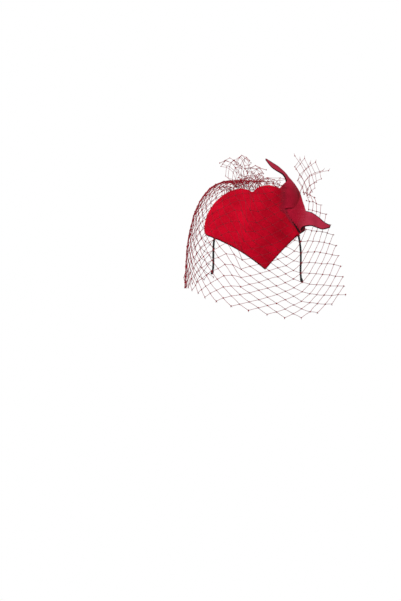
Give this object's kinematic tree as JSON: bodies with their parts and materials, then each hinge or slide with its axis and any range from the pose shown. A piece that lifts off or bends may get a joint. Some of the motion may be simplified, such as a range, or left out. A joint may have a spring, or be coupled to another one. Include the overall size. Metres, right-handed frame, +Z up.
{
  "type": "fascinator headpiece",
  "caption": "Heart-shaped felt fascinator with two curled tails and a diamond-net birdcage veil on a slim covered headband.",
  "frame": {"origin": "inside face of the headband at its top, where it rests on the wearer's crown", "axes": "+Z up, -Y the way the wearer's face looks, +X the wearer's left"},
  "size_m": [0.2432, 0.1535, 0.2216],
  "materials": {
    "felt_red": "matte wool felt",
    "felt_edge": "dark bias edge",
    "buckram": "stiffened open weave",
    "lining_black": "matte cotton lining",
    "wire_steel": "drawn wire",
    "satin_black": "satin ribbon",
    "net_red": "knotted millinery net",
    "thread_red": "sewing thread",
    "thread_black": "sewing thread"
  },
  "bodies": {
    "headpiece": {"heart_cover": "felt_red", "heart_foundation": "buckram", "heart_lining": "lining_black", "rim_wire": "wire_steel", "rim_binding": "felt_edge", "upper_tail_face": "felt_red", "upper_tail_backing": "lining_black", "upper_tail_wire": "wire_steel", "upper_tail_edging": "felt_edge", "lower_tail_face": "felt_red", "lower_tail_backing": "lining_black", "lower_tail_wire": "wire_steel", "lower_tail_edging": "felt_edge", "tail_stitches": "thread_black", "band_core_crown": "wire_steel", "band_wrap_crown": "satin_black", "band_keepers": "satin_black", "veil_crown": "net_red", "veil_left_panel": "net_red", "veil_right_panel": "net_red", "veil_gathers": "net_red", "gathering_thread": "thread_red", "left_tuft": "net_red", "right_tuft": "net_red", "veil_tacks": "thread_black"},
    "visor": {"veil_visor_right": "net_red", "veil_visor_front": "net_red", "veil_visor_left": "net_red"},
    "left_arm": {"band_core_left": "wire_steel", "band_wrap_left": "satin_black", "left_tip_cap": "satin_black"},
    "right_arm": {"band_core_right": "wire_steel", "band_wrap_right": "satin_black", "right_tip_cap": "satin_black"}
  },
  "joints": [
    {"name": "veil_lift", "type": "hinge", "parent": "headpiece", "child": "visor", "pos_m": [0, -0.026, 0.027], "axis": [-1, 0, 0], "range_deg": [0, 90]},
    {"name": "left_arm_flex", "type": "hinge", "parent": "headpiece", "child": "left_arm", "pos_m": [0.072, 0, -0.0665], "axis": [0, -1, 0], "range_deg": [-3, 5], "stiffness_Nm_per_rad": 0.6},
    {"name": "right_arm_flex", "type": "hinge", "parent": "headpiece", "child": "right_arm", "pos_m": [-0.072, 0, -0.0665], "axis": [0, 1, 0], "range_deg": [-3, 5], "stiffness_Nm_per_rad": 0.6}
  ]
}
